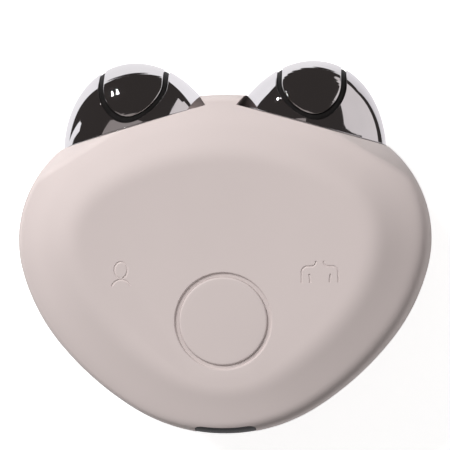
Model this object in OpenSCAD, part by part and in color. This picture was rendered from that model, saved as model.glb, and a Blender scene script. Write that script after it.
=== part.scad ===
// Palm-held facial toning device: a silicone-covered pebble with two chromed
// electrode domes on its shoulders and one push button in a dished front face.
// It lies on its back: +Z leaves the front face, +Y runs towards the domes.
// The origin is under the middle of the whole device, on the face it rests on.

/* [Body outline] */
// Radius of the arc round the bottom end
bottom_r = 34; // [33:0.1:35]
// Radius of the long arc up each flank
flank_r = 60.5; // [57:0.5:64]
// Radius of the lower part of each cheek
low_cheek_r = 37.8; // [36:0.1:40]
// Radius of the upper part of each cheek
cheek_r = 23.4; // [23:0.1:24]
// Heading at which the bottom arc meets the flank, in degrees from the bottom
bottom_end = 31.9; // [31:0.1:33]
// Heading at which the flank meets the lower cheek
flank_end = 50.8; // [50:0.1:52]
// Heading at which the lower cheek meets the upper cheek
low_cheek_end = 75; // [73.5:0.1:76.5]
// Heading at which the upper cheek meets the crown between the domes
cheek_end = 147; // [145:0.5:149]

/* [Body depth] */
// Height of the front rim above the face that the device rests on
rim_z = 35; // [34.5:0.1:36]
// How far the parting line rises towards the bottom end
tail_lift = 6; // [4:0.25:7]
// Depth of the dish below the front rim
dish_depth = 1.3; // [1:0.1:1.6]
// Width of the rounded flank at the sides, seen from the front
side_flank = 8.2; // [8:0.1:8.6]
// Width of the rounded flank at the bottom end
bottom_flank = 5; // [4.6:0.1:5.5]
// Fullness of the flanks at the sides: 2 is an ellipse, more is squarer
side_fullness = 2.9; // [2.8:0.1:3.1]
// Fullness of the flank at the bottom end
bottom_fullness = 2.2; // [2:0.1:2.5]
// Reach of the keel from the bottom end to the flat back
keel_reach = 22; // [20:0.5:23]

/* [Walls] */
// Thickness of the silicone skin
skin_t = 1.2; // [1:0.1:1.4]
// Thickness of the hard shells
shell_t = 1.8; // [1.5:0.1:2]

/* [Domes] */
// Radius of each dome where it meets the silicone
dome_r = 15.1; // [14.9:0.05:15.2]
// Height of each dome above its seat
dome_h = 13.1; // [12.7:0.1:13.5]
// How far the dome's widest circle would lie below its seat
dome_sink = 8.6; // [8:0.1:9.2]
// Thickness of the chromed electrodes
plate_t = 1; // [0.8:0.05:1.2]
// Outward tilt of each dome
dome_tilt = 15.9; // [15.4:0.1:16.4]
// Heading of the outline where it meets a dome's seat
seat_heading = 139.5; // [139:0.1:140]
// Width of the silicone lip beyond a dome's outer end
dome_lip = 0.6; // [0.5:0.05:0.8]
// Radius of the cove where the seat meets the neck between the domes
cove_r = 2; // [1.6:0.1:2.4]
// Clearance between the dome and the silicone round it
dome_gap = 0.25; // [0.2:0.01:0.3]

/* [Strap electrodes] */
// Half width of the strap electrode
strap_half_w = 5.9; // [5.7:0.05:6.1]
// Reach of the strap from the dome's middle towards front and back
strap_reach = 14.25; // [14:0.05:14.35]
// Width of the insulating line along the strap's sides
line_w = 1; // [0.8:0.05:1.1]
// Width of the insulating line at the strap's ends, seen from above the dome
line_end_w = 0.45; // [0.4:0.01:0.5]
// Depth of the insulating line below the chrome
line_depth = 0.4; // [0.3:0.05:0.5]

/* [Button] */
// Radius of the button pad
button_r = 8.6; // [8.3:0.05:9]
// Width of the ring groove round the pad
groove_w = 0.8; // [0.6:0.05:1]
// Depth of the ring groove
groove_depth = 0.6; // [0.5:0.05:0.8]
// Distance from the body's bottom end to the button's middle
button_from_bottom = 22.6; // [21.9:0.1:24]
// Travel of the button
button_travel = 0.4; // [0.3:0.05:0.5]
// Radial clearance of the button in its guide
button_gap = 0.08; // [0.06:0.01:0.1]

/* [Inside] */
// Thickness of the main board
board_t = 1.2; // [1:0.1:1.6]
// Gap between the front shell and the board
board_drop = 6.5; // [6.3:0.1:7]
// Length of the battery
battery_l = 36; // [30:1:38]
// Width of the battery
battery_w = 26; // [22:1:28]
// Thickness of the battery
battery_t = 6; // [5:0.5:7]
// Distance of each mode light from the middle line
light_x = 19.8; // [19:0.1:20.5]
// Distance from the body's bottom end to the mode lights
light_from_bottom = 32; // [31.4:0.1:32.9]
// Radius of the light guides
guide_r = 1.5; // [1.2:0.1:1.8]
// Outer radius of the screw posts
post_r = 2.8; // [2.6:0.1:3]
// Length of the long shell screws
shell_screw_l = 14; // [12:0.5:15]
// Length of the short board screws
board_screw_l = 5; // [4.5:0.25:5.5]

/* [Charging plate] */
// Width of the charging plate
plate_w = 11.8; // [11.4:0.1:12.4]
// Height of the charging plate
plate_h = 11.2; // [10.8:0.1:11.6]
// Radius of the charging plate's corners
plate_corner = 1.6; // [1.4:0.1:2.5]
// Distance between the two charging contacts
contact_pitch = 5.6; // [5:0.1:6.2]
// Radius of the charging contacts
contact_r = 0.9; // [0.8:0.05:1]

/* [Hidden] */

// Smoothness of the round pieces
$fn = 64;
// Points round the pebble, one per equal step of heading
outline_steps = 56;
// Rings up the flank, and rings from the rim to the floor of the dish
flank_rings = 7;
dish_rings = 5;
// Overshoot of cuts past the faces they cut
over = 1;
// Clearance between pieces that are pushed together
fit_gap = 0.05;
// Reach of a cut that passes right through the device
far = 60;

// ---- Outline of the pebble ----
// Each half of the outline is a chain of arcs that meet tangentially. A point is
// found by its heading: 0 at the bottom end, 90 at the widest, 180 at the neck.
function outward(h) = [sin(h), -cos(h)];
neck_heading = 180;
full_turn = 2 * neck_heading;
arc_ends = [bottom_end, flank_end, low_cheek_end, cheek_end];
arc_radii = [bottom_r, flank_r, low_cheek_r, cheek_r];
// Centre of arc i, with the bottom arc's centre at the origin
function arc_centre(i) = i == 0 ? [0, 0] :
    arc_centre(i - 1) + (arc_radii[i - 1] - arc_radii[i]) * outward(arc_ends[i - 1]);
cheek_tip = arc_centre(3) + cheek_r * outward(cheek_end);
crown_r = cheek_tip[0] / sin(cheek_end);
crown_centre = [0, cheek_tip[1] + crown_r * cos(cheek_end)];

// Overall length runs from the bottom end to the highest point of the domes
seat_end = arc_centre(3) + cheek_r * outward(seat_heading);
seat_above_centre = seat_end + (dome_lip + dome_r) * [-cos(dome_tilt), sin(dome_tilt)];
// The dome is part of an ellipsoid whose centre lies below the seat
dome_axial = dome_h + dome_sink;
dome_lateral = dome_r / sqrt(1 - pow(dome_sink / dome_axial, 2));
dome_rise = norm([dome_axial * cos(dome_tilt), dome_lateral * sin(dome_tilt)]);
dome_top = seat_above_centre[1] - dome_sink * cos(dome_tilt) + dome_rise;
middle_y = (dome_top - bottom_r) / 2;

bottom_y = -bottom_r - middle_y;
seat_x = seat_above_centre[0];
seat_y = seat_above_centre[1] - middle_y;
mid_z = rim_z / 2;
floor_z = rim_z - dish_depth;

// Centre and radius of the arc that a heading lies on
function arc_index(h) = h < bottom_end ? 0 : h < flank_end ? 1 : h < low_cheek_end ? 2 : 3;
function half_point(h, inset) = h > cheek_end ?
    crown_centre + (crown_r - inset) * outward(h) :
    arc_centre(arc_index(h)) + (arc_radii[arc_index(h)] - inset) * outward(h);
function outline_point(h, inset) = h <= neck_heading ?
    half_point(h, inset) - [0, middle_y] :
    let (p = half_point(full_turn - h, inset)) [-p[0], p[1] - middle_y];

// Smooth step from 0 to 1
function ease(t) = let (u = min(max(t, 0), 1)) u * u * (3 - 2 * u);
// Share of the bottom end in a heading: 1 at the bottom, 0 from the cheeks up
tail_end = 92;
function tail_share(h) = 1 - ease(min(h, full_turn - h) / tail_end);
// Height of the parting line, which rises towards the bottom end
function parting_z(h) = mid_z + tail_lift * ease(-outline_point(h, 0)[1] / -bottom_y);
function front_flank(h) = side_flank + (bottom_flank - side_flank) * tail_share(h);
function rear_flank(h) = side_flank + (keel_reach - side_flank) * tail_share(h);
function fullness(h) = side_fullness + (bottom_fullness - side_fullness) * tail_share(h);
// The two coordinates of a superellipse of fullness n at angle a
function super_out(a, n) = 1 - pow(max(cos(a), 0), 2 / n);
function super_up(a, n) = pow(max(sin(a), 0), 2 / n);

// Rings of the front surface, drawn in by wall: up the flank, then into the dish
function front_ring(k, wall) = [for (i = [0:outline_steps - 1])
    let (h = i * full_turn / outline_steps,
         w = front_flank(h),
         up = rim_z - parting_z(h),
         a = 90 * min(k / flank_rings, 1),
         t = max(k - flank_rings, 0) / dish_rings,
         inset = wall + (w - wall) * super_out(a, fullness(h)) + w * t,
         drop = dish_depth * (1 - cos(180 * t)) / 2,
         p = outline_point(h, inset))
    [p[0], p[1], parting_z(h) + (up - wall) * super_up(a, fullness(h)) - drop]];
// Rings of the back: from the parting line round the flank to the flat back
function rear_ring(k, wall) = [for (i = [0:outline_steps - 1])
    let (h = i * full_turn / outline_steps,
         w = rear_flank(h),
         a = 90 * k / flank_rings,
         p = outline_point(h, wall + (w - wall) * super_out(a, fullness(h))))
    [p[0], p[1], parting_z(h) - (parting_z(h) - wall) * super_up(a, fullness(h))]];
// The parting ring, moved up or down past the parting line
function rim_ring(wall, past) = [for (i = [0:outline_steps - 1])
    let (h = i * full_turn / outline_steps, p = outline_point(h, wall))
    [p[0], p[1], parting_z(h) + past]];

// Skin of triangles between ring a and the ring after it
function band(a) = [for (i = [0:outline_steps - 1])
    let (j = (i + 1) % outline_steps, p = a * outline_steps, q = p + outline_steps)
    each [[p + i, q + j, p + j], [p + i, q + i, q + j]]];
// Cap across a ring whose height depends on y alone, made of level strips
function strip_cap(a) = let (n = outline_steps, p = a * n) [
    [p, p + 1, p + n - 1],
    for (i = [1:n / 2 - 2]) [p + i, p + i + 1, p + n - i - 1, p + n - i],
    [p + n / 2 - 1, p + n / 2, p + n / 2 + 1]];
function flat_cap(a) = [[for (i = [outline_steps - 1:-1:0]) a * outline_steps + i]];

// One half of the pebble as a closed solid, drawn in by wall, its open face
// moved past the parting line so that it can cut another half
module pebble_half(front, wall, past) {
    last = front ? flank_rings + dish_rings : flank_rings;
    rings = [for (k = [0:last]) front ? front_ring(k, wall) : rear_ring(k, wall)];
    points = concat(rim_ring(wall, front ? -past : past), [for (r = rings) each r]);
    first = past > 0 ? 0 : 1;
    used = past > 0 ? points : [for (r = rings) each r];
    count = len(used) / outline_steps;
    walls = [for (k = [0:count - 2]) each band(k)];
    faces = concat(walls, strip_cap(0), flat_cap(count - 1));
    flip = front ? faces : [for (f = faces) [for (i = [len(f) - 1:-1:0]) f[i]]];
    polyhedron(points = used, faces = flip, convexity = 6);
}

// ---- Seats of the domes ----
// Frame of a dome's seat: x outward along the shoulder, y along the dome's axis
module at_seat(side) {
    mirror([side < 0 ? 1 : 0, 0, 0])
        translate([seat_x, seat_y, mid_z]) rotate([0, 0, -dome_tilt]) children();
}
// Frame of a dome: +Z along its axis
module at_dome(side) {
    at_seat(side) rotate([-90, 0, 0]) children();
}
neck_gap = dome_r + dome_gap;
// What the shoulder cut takes away, grown by wall: the seat, the neck's side and the cove
module shoulder_cut(side, wall) {
    at_seat(side) translate([0, 0, -far / 2]) linear_extrude(far) {
        translate([cove_r - neck_gap, -wall]) square([far, far]);
        translate([-neck_gap - wall, cove_r]) square([far, far]);
        translate([cove_r - neck_gap, cove_r]) circle(cove_r + wall);
    }
}
// One half of the pebble, drawn in by wall, with both shoulders cut
module shouldered_half(front, wall, past) {
    difference() {
        pebble_half(front, wall, past);
        for (side = [-1, 1]) shoulder_cut(side, wall);
    }
}

// ---- Levels and places inside ----
cavity_wall = skin_t + shell_t;
skin_under = floor_z - skin_t;
shell_under = skin_under - shell_t;
board_top = shell_under - board_drop;
board_bottom = board_top - board_t;
button_y = bottom_y + button_from_bottom;
light_y = bottom_y + light_from_bottom;
// Screw posts run from the front shell's wall to a joint low in the rear shell
post_sink = 0.3;
post_root_z = skin_under - post_sink;
post_joint_z = 16.5;
upper_post_x = 29.5;
upper_post_y = 2;
lower_post_x = 16;
lower_post_up = 17;
screw_r = 1;
screw_gap = 0.15;
screw_head_r = 1.9;
screw_head_h = 1.4;
screw_grip = 7;
screw_head_z = post_joint_z + screw_grip - shell_screw_l;
// The board follows the outline and stops short of the domes
board_inset = 6.5;
board_gap = 0.4;
board_to_seat = 12.5;
board_edge_y = seat_y - board_to_seat;
board_post_x = 20;
board_post_in = 4.5;
board_post_r = 2;
tail_post_x = 9.5;
tail_post_up = 11.4;
board_screw_r = 0.8;
board_head_r = 1.6;
board_head_h = 1;
// Button stack: silicone pad, hard key with a stop flange, and the switch
pad_below_skin = 0.5;
pad_under = skin_under - pad_below_skin;
pad_edge = 0.25;
flange_top = shell_under - fit_gap;
flange_t = 1;
flange_w = 1.05;
key_stem_r = 2;
switch_w = 6.2;
switch_h = 3.4;
switch_spare = 0.2;
plunger_r = 1.7;
plunger_out = 1;
plunger_top = board_top + switch_h + plunger_out;
plunger_l = 1.8;
// Pieces on the board
parts_from_button = 18.5;
parts_y = button_y + parts_from_button;
chip_x = 11.5;
chip_w = 7;
chip_h = 1;
coil_r = 3.2;
coil_groove = 0.5;
coil_flange = 0.6;
coil_h = 3.2;
buzzer_r = 4.2;
buzzer_h = 3;
buzzer_port_r = 0.8;
led_l = 1.6;
led_w = 0.8;
led_h = 0.6;
led_gap = 0.3;
// Silicone left over each light guide, and the collar that stops the guide
window_t = 0.6;
guide_collar = 0.8;
// Sides of the wires
wire_sides = 8;
// Battery on its foam pad
pad_t = 0.8;
pad_in = 6;
battery_corner = 1.5;
battery_seam = 1.2;
seam_t = 0.75;
battery_front_y = 11;
battery_y = battery_front_y - battery_w / 2;
battery_lead_z = cavity_wall + pad_t + (battery_t + seam_t) / 2;
lead_pitch = 1.5;
lead_r = 0.45;
lead_bow = 1.5;
// The battery's wires turn up clear of the board's edge and of the battery's seam
battery_turn_y = max(board_edge_y + lead_bow,
    battery_front_y + battery_seam + lead_r + fit_gap);
// Charging plate: its face follows the body, its neck passes through the shell
plate_above_parting = 3.5;
plate_z = mid_z + tail_lift + plate_above_parting;
plate_gap = 0.1;
plate_step = 1.2;
plate_depth = 5;
plate_recess = 0.08;
contact_in = 0.5;
contact_l = 5.6;
// Dome core: spigot, clip groove, seal and contact pins, measured from the seat
dome_steps = 16;
skirt_z = fit_gap - skin_t;
line_low = 0.5;
core_wall = plate_t + fit_gap;
core_t = 1.5;
base_t = 1.8;
spigot_r = 9;
spigot_t = 2;
spigot_gap = 0.1;
clip_t = 1;
clip_in = 0.8;
clip_out = 1.4;
clip_open = 8;
clip_z = -cavity_wall - fit_gap - clip_t;
spigot_past_clip = 2;
spigot_l = cavity_wall + clip_t + spigot_past_clip;
// The cavity ends below the neck, clear of the clips' inner ends
clip_room = 0.5;
neck_floor_y = seat_y + (spigot_r + clip_out) * sin(dome_tilt) -
    cavity_wall * cos(dome_tilt) + clip_room;
seal_r = 0.45;
seal_mid_r = 11.2;
pin_r = 0.8;
pin_l = 3.6;
// Height of the electrodes' inner face at a distance x from the dome's axis
function plate_under(x) =
    (dome_axial - plate_t) * sqrt(1 - pow(x / (dome_lateral - plate_t), 2)) - dome_sink;
// Each pin: its x, its top, and the route of its wire down to the spigot's end.
// The side pin's wire passes over the core's base before it turns down.
side_pin_x = 10;
side_pin_top = plate_under(side_pin_x + pin_r);
side_lead_x = 3;
base_top = base_t + skirt_z;
pins = [
    [0, plate_under(pin_r), [[0, 0, base_top]]],
    [side_pin_x, side_pin_top, [
        [side_pin_x, 0, base_top + 3 * lead_r],
        [spigot_r - spigot_t - 3 * lead_r, 0, base_top + 2.5 * lead_r],
        [side_lead_x, 0, skirt_z]]]];
lead_rise = 9.5;
lead_land = 15.5;

module at_button(z) {
    translate([0, button_y, z]) children();
}
// Left and right copies of a shape placed on the right
module both_sides() {
    children();
    mirror([1, 0, 0]) children();
}
// A route with each corner cut to two gentler ones
function eased(route) = [
    route[0],
    for (i = [1:len(route) - 2]) each [
        route[i] + (route[i - 1] - route[i]) / 3, route[i] + (route[i + 1] - route[i]) / 3],
    route[len(route) - 1]];
function unit(v) = v / norm(v);
// Direction of a route at its point i
function heading(route, i) = let (last = len(route) - 1)
    unit((i < last ? unit(route[i + 1] - route[i]) : [0, 0, 0]) +
        (i > 0 ? unit(route[i] - route[i - 1]) : [0, 0, 0]));
// A wire of radius r swept along a route that never runs along x
module wire(corners, r) {
    route = eased(corners);
    rings = [for (i = [0:len(route) - 1])
        let (t = heading(route, i), n = unit(cross(t, [1, 0, 0])), b = cross(t, n))
        for (k = [0:wire_sides - 1])
            route[i] + r * (cos(360 * k / wire_sides) * n + sin(360 * k / wire_sides) * b)];
    last = (len(route) - 1) * wire_sides;
    sides = [for (i = [0:wire_sides:last - 1], k = [0:wire_sides - 1])
        let (j = (k + 1) % wire_sides)
        each [[i + k, i + j, i + wire_sides + j], [i + k, i + wire_sides + j, i + wire_sides + k]]];
    near_end = [for (k = [wire_sides - 1:-1:0]) k];
    far_end = [for (k = [0:wire_sides - 1]) last + k];
    polyhedron(points = rings, faces = concat(sides, [near_end, far_end]));
}
// A flat shape with round ends, w wide along x and h high along y
module slot_shape(w, h) {
    square([w - h, h], center = true);
    for (side = [-1, 1]) translate([side * (w - h) / 2, 0]) circle(h / 2);
}
// A rectangle with round corners
module round_rect(w, h, r) {
    square([w - 2 * r, h], center = true);
    square([w, h - 2 * r], center = true);
    for (x = [-1, 1], y = [-1, 1]) translate([x * (w / 2 - r), y * (h / 2 - r)]) circle(r);
}
// A tube or ring about Z
module ring(outer, inner, h) {
    difference() {
        cylinder(h = h, r = outer);
        translate([0, 0, -over]) cylinder(h = h + 2 * over, r = inner);
    }
}

// ---- Cuts that several layers share ----
// The well that a dome's rim stands in, down to a depth below the seat
module dome_well(side, depth) {
    at_dome(side) translate([0, 0, -depth]) cylinder(h = far, r = neck_gap);
}
// The hole in a seat that a dome's spigot passes through
module spigot_hole(side) {
    at_dome(side) translate([0, 0, -cavity_wall - over])
        cylinder(h = cavity_wall + 2 * over, r = spigot_r + spigot_gap);
}
// A prism with the charging plate's outline, grown by a margin, from y0 inwards
module plate_prism(grow, y0, depth) {
    translate([0, y0 + depth, plate_z]) rotate([90, 0, 0])
        linear_extrude(depth)
            round_rect(plate_w + 2 * grow, plate_h + 2 * grow, plate_corner + grow);
}

// ---- Housing ----
silicone_colour = "#cbbfbb";
shell_colour = "#e4e2df";
module front_skin() {
    color(silicone_colour) difference() {
        shouldered_half(true, 0, 0);
        shouldered_half(true, skin_t, over);
        for (side = [-1, 1]) dome_well(side, skin_t + fit_gap);
        at_button(floor_z - groove_depth) cylinder(h = far, r = button_r + groove_w);
        at_button(skin_under - over) cylinder(h = far, r = button_r + button_gap);
        both_sides() translate([light_x, light_y, skin_under - over])
            cylinder(h = over + skin_t - window_t, r = guide_r + fit_gap);
        plate_prism(plate_gap, bottom_y - over, bottom_r);
    }
}
module rear_skin() {
    color(silicone_colour) difference() {
        shouldered_half(false, 0, 0);
        shouldered_half(false, skin_t, over);
        for (side = [-1, 1]) dome_well(side, skin_t + fit_gap);
        plate_prism(plate_gap, bottom_y - over, bottom_r);
    }
}
// The room inside one half of the shell, closed off below the neck
module cavity(front) {
    difference() {
        shouldered_half(front, cavity_wall, over);
        translate([-far, neck_floor_y, -far]) cube([2 * far, far, 3 * far]);
    }
}
// Places of the four shell screws and of the four board screws
module at_shell_screws() {
    both_sides() translate([upper_post_x, upper_post_y, 0]) children();
    both_sides() translate([lower_post_x, bottom_y + lower_post_up, 0]) children();
}
module at_board_screws() {
    both_sides() translate([board_post_x, board_edge_y - board_post_in, 0]) children();
    both_sides() translate([tail_post_x, bottom_y + tail_post_up, 0]) children();
}
module front_shell() {
    color(shell_colour) difference() {
        union() {
            difference() {
                shouldered_half(true, skin_t, 0);
                cavity(true);
            }
            at_shell_screws() translate([0, 0, post_joint_z])
                cylinder(h = post_root_z - post_joint_z, r = post_r);
            at_board_screws() translate([0, 0, board_top])
                cylinder(h = post_root_z - board_top, r = board_post_r);
        }
        for (side = [-1, 1]) dome_well(side, skin_t);
        for (side = [-1, 1]) spigot_hole(side);
        at_button(shell_under - over) cylinder(h = far, r = button_r + button_gap);
        both_sides() translate([light_x, light_y, shell_under - over])
            cylinder(h = far, r = guide_r + fit_gap);
        at_shell_screws() translate([0, 0, post_joint_z - over])
            cylinder(h = screw_grip + 2 * over, r = screw_r);
        at_board_screws() translate([0, 0, board_top - over])
            cylinder(h = board_screw_l - board_t + 2 * over, r = board_screw_r);
        plate_prism(-plate_step + fit_gap, bottom_y - over, plate_depth + over);
    }
}
module rear_shell() {
    color(shell_colour) difference() {
        union() {
            difference() {
                shouldered_half(false, skin_t, 0);
                cavity(false);
            }
            intersection() {
                pebble_half(false, skin_t + fit_gap, over);
                at_shell_screws() cylinder(h = post_joint_z, r = post_r);
            }
        }
        for (side = [-1, 1]) dome_well(side, skin_t);
        for (side = [-1, 1]) spigot_hole(side);
        at_shell_screws() {
            cylinder(h = far, r = screw_r + screw_gap);
            cylinder(h = screw_head_z, r = screw_head_r + screw_gap);
        }
        plate_prism(-plate_step + fit_gap, bottom_y - over, plate_depth + over);
    }
}
// A pan-head screw with its head below z = 0 and its shank above
module screw(shank_r, head_r, head_h, length) {
    cylinder(h = length, r = shank_r);
    translate([0, 0, -head_h]) difference() {
        cylinder(h = head_h, r = head_r);
        translate([0, 0, -over]) cylinder(h = over + head_h / 2, r = head_r / 2, $fn = 6);
    }
}
module shell_screws() {
    color("silver") at_shell_screws() translate([0, 0, screw_head_z])
        screw(screw_r, screw_head_r, screw_head_h, shell_screw_l);
}

// ---- Button ----
module button_pad() {
    color(silicone_colour) at_button(0) rotate_extrude() polygon([
        [0, pad_under], [button_r, pad_under], [button_r, floor_z - pad_edge],
        [button_r - pad_edge, floor_z], [0, floor_z]]);
}
module button_key() {
    color(shell_colour) at_button(0) {
        translate([0, 0, flange_top]) cylinder(h = pad_under - flange_top, r = button_r);
        translate([0, 0, flange_top - flange_t]) cylinder(h = flange_t, r = button_r + flange_w);
        translate([0, 0, plunger_top])
            cylinder(h = flange_top - flange_t - plunger_top, r = key_stem_r);
    }
}
module switch_plunger() {
    color("#303030") at_button(plunger_top - plunger_l) cylinder(h = plunger_l, r = plunger_r);
}
module tact_switch() {
    color("silver") difference() {
        at_button(board_top) translate([-switch_w / 2, -switch_w / 2, 0])
            cube([switch_w, switch_w, switch_h]);
        at_button(plunger_top - plunger_l - button_travel - switch_spare)
            cylinder(h = far, r = plunger_r + button_gap);
    }
}

// ---- Board and what it carries ----
module main_board() {
    color("#1f6b3a") translate([0, 0, board_bottom]) linear_extrude(board_t) difference() {
        intersection() {
            polygon([for (i = [0:outline_steps - 1])
                outline_point(i * full_turn / outline_steps, board_inset)]);
            translate([-far, board_edge_y - 2 * far]) square(2 * far);
        }
        at_shell_screws() circle(post_r + board_gap);
        at_board_screws() circle(board_screw_r + screw_gap);
    }
}
module board_screws() {
    color("silver") at_board_screws() translate([0, 0, board_bottom])
        screw(board_screw_r, board_head_r, board_head_h, board_screw_l);
}
// A block or a can standing on the board
module board_block(x, y, w, d, h) {
    translate([x - w / 2, y - d / 2, board_top]) cube([w, d, h]);
}
module controller_chip() {
    color("#202020") board_block(-chip_x, parts_y, chip_w, chip_w, chip_h);
}
module boost_coil() {
    color("#4a4a4a") translate([chip_x, parts_y, board_top]) {
        cylinder(h = coil_h, r = coil_r - coil_groove);
        cylinder(h = coil_flange, r = coil_r);
        translate([0, 0, coil_h - coil_flange]) cylinder(h = coil_flange, r = coil_r);
    }
}
module buzzer() {
    color("#181818") translate([0, parts_y, board_top]) difference() {
        cylinder(h = buzzer_h, r = buzzer_r);
        translate([0, 0, buzzer_h / 2]) cylinder(h = buzzer_h, r = buzzer_port_r);
    }
}
module mode_led(side) {
    color("#f5f0c8") board_block(side * light_x, light_y, led_l, led_w, led_h);
}
module light_guide(side) {
    color("#eef4f6") translate([side * light_x, light_y, 0]) {
        translate([0, 0, board_top + led_h + led_gap])
            cylinder(h = floor_z - window_t - board_top - led_h - led_gap, r = guide_r);
        translate([0, 0, shell_under - guide_collar])
            cylinder(h = guide_collar, r = guide_r + guide_collar);
    }
}
module face_mode_led() { mode_led(-1); }
module body_mode_led() { mode_led(1); }
module face_light_guide() { light_guide(-1); }
module body_light_guide() { light_guide(1); }

// ---- Battery ----
module battery() {
    color("#b9bcc0") translate([0, battery_y, cavity_wall + pad_t]) {
        linear_extrude(battery_t) round_rect(battery_l, battery_w, battery_corner);
        translate([-battery_l / 2 + battery_corner, 0, battery_t / 2])
            cube([battery_l - 2 * battery_corner, battery_w / 2 + battery_seam, seam_t]);
    }
}
module battery_pad() {
    color("#3a3a3c") translate([0, battery_y, cavity_wall])
        linear_extrude(pad_t) round_rect(battery_l - pad_in, battery_w - pad_in, battery_corner);
}
module battery_leads() {
    color("#b03030") for (side = [-1, 1]) wire([
        [side * lead_pitch, battery_y + battery_w / 2 + battery_seam, battery_lead_z],
        [side * lead_pitch, battery_turn_y, battery_lead_z],
        [side * lead_pitch, battery_turn_y, board_top + lead_r],
        [side * lead_pitch, board_edge_y - lead_bow, board_top + lead_r]], lead_r);
}

// ---- Charging plate ----
module charge_plate() {
    color("#1c1a19") difference() {
        intersection() {
            plate_prism(0, bottom_y, plate_depth);
            pebble_half(true, plate_recess, plate_h);
        }
        difference() {
            pebble_half(true, skin_t, plate_h);
            plate_prism(-plate_step, bottom_y - over, bottom_r);
        }
        both_sides() translate([contact_pitch / 2, bottom_y - over, plate_z]) rotate([-90, 0, 0])
            cylinder(h = plate_depth + 2 * over, r = contact_r);
    }
}
module charge_contacts() {
    color("#d8b25a") both_sides() translate([contact_pitch / 2, bottom_y + contact_in, plate_z])
        rotate([-90, 0, 0]) cylinder(h = contact_l, r = contact_r);
}
module charge_leads() {
    color("#b03030") both_sides() wire([
        [contact_pitch / 2, bottom_y + contact_in + contact_l, plate_z],
        [contact_pitch / 2, bottom_y + board_inset, plate_z],
        [contact_pitch / 2, bottom_y + board_inset + lead_bow, board_top + lead_r],
        [contact_pitch / 2, bottom_y + board_inset + 2 * lead_bow, board_top + lead_r]], lead_r);
}

// ---- Domes ----
// Half profile of the dome, drawn in by wall, down to z = bottom
function dome_profile(wall, bottom) =
    let (axial = dome_axial - wall, lateral = dome_lateral - wall, low = asin(dome_sink / axial))
    concat([[0, bottom], [lateral * cos(low), bottom]],
        [for (i = [0:dome_steps - 1]) let (a = low + (90 - low) * i / dome_steps)
            [lateral * cos(a), axial * sin(a) - dome_sink]],
        [[0, axial - dome_sink]]);
module dome_solid(wall, bottom) {
    rotate_extrude() polygon(dome_profile(wall, bottom));
}
// The chromed skin of a dome before it is divided
module dome_plate() {
    difference() {
        dome_solid(0, skirt_z);
        dome_solid(plate_t, skirt_z - over);
    }
}
// The strap's outline seen along the device, carried through the dome. Its sides
// are grown by side_grow, its ends by end_grow, and it stops above z = low.
module strap_prism(side, side_grow, end_grow, low) {
    half_w = strap_half_w + side_grow;
    reach = strap_reach + end_grow;
    intersection() {
        translate([side * seat_x, seat_y, mid_z]) rotate([-90, 90, 0])
            translate([0, 0, -dome_r]) linear_extrude(far) slot_shape(2 * reach, 2 * half_w);
        at_dome(side) translate([0, 0, low]) cylinder(h = far, r = far);
    }
}
module outer_electrode(side) {
    color("#d5d6d9") difference() {
        at_dome(side) dome_plate();
        strap_prism(side, line_w, line_end_w, line_low);
    }
}
module strap_electrode(side) {
    color("#d5d6d9") intersection() {
        at_dome(side) dome_plate();
        strap_prism(side, 0, 0, line_low + line_end_w);
    }
}
// The insulating rib between the two electrodes, set below the chrome
module line_rib(side) {
    difference() {
        intersection() {
            at_dome(side) difference() {
                dome_solid(line_depth, 0);
                dome_solid(core_wall + core_t / 2, -over);
            }
            strap_prism(side, line_w - fit_gap, line_end_w - fit_gap, line_low + fit_gap);
        }
        intersection() {
            strap_prism(side, fit_gap, fit_gap, line_low + line_end_w - fit_gap);
            at_dome(side) dome_sleeve();
        }
    }
}
// The layer that the electrodes take up, with their clearance
module dome_sleeve() {
    difference() {
        dome_solid(-over, skirt_z - over);
        dome_solid(core_wall, skirt_z - 2 * over);
    }
}
module dome_core(side) {
    color("#161616") {
        difference() {
            union() {
                at_dome(side) dome_solid(core_wall, skirt_z);
                line_rib(side);
                at_dome(side) translate([0, 0, -spigot_l]) cylinder(h = spigot_l, r = spigot_r);
            }
            at_dome(side) {
                difference() {
                    dome_solid(core_wall + core_t, 0);
                    translate([0, 0, -over]) cylinder(h = over + base_t + skirt_z, r = far);
                }
                translate([0, 0, -spigot_l - over])
                    cylinder(h = spigot_l + 2 * over, r = spigot_r - spigot_t);
                translate([0, 0, skirt_z - over]) ring(seal_mid_r + seal_r + fit_gap,
                    seal_mid_r - seal_r - fit_gap, over + 2 * seal_r);
                translate([0, 0, clip_z - fit_gap]) ring(far, spigot_r - clip_in, clip_t + 2 * fit_gap);
                for (pin = pins) translate([pin[0], 0, 0])
                    cylinder(h = far, r = pin_r);
            }
        }
    }
}
module dome_seal(side) {
    color("#262626") at_dome(side) translate([0, 0, seal_r - skin_t])
        rotate_extrude() translate([seal_mid_r, 0]) circle(seal_r);
}
module dome_clip(side) {
    color("#a9a9ad") at_dome(side) translate([0, 0, clip_z]) difference() {
        ring(spigot_r + clip_out, spigot_r - clip_in + fit_gap, clip_t);
        translate([0, -clip_open / 2, -over]) cube([far, clip_open, clip_t + 2 * over]);
    }
}
module contact_pins(side) {
    color("#c9a24a") at_dome(side) for (pin = pins)
        translate([pin[0], 0, pin[1] - pin_l]) cylinder(h = pin_l, r = pin_r);
}
module electrode_leads(side) {
    board_level = mid_z - board_top - lead_r - fit_gap;
    color("#b03030") at_dome(side) for (pin = pins) let (x = pin[2][len(pin[2]) - 1][0]) wire([
        [pin[0], 0, pin[1] - pin_l],
        each pin[2],
        [x, 0, -spigot_l],
        [x, board_level, -lead_rise],
        [x, board_level, -lead_land]], lead_r);
}
module left_outer_electrode() { outer_electrode(-1); }
module right_outer_electrode() { outer_electrode(1); }
module left_strap_electrode() { strap_electrode(-1); }
module right_strap_electrode() { strap_electrode(1); }
module left_dome_core() { dome_core(-1); }
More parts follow.
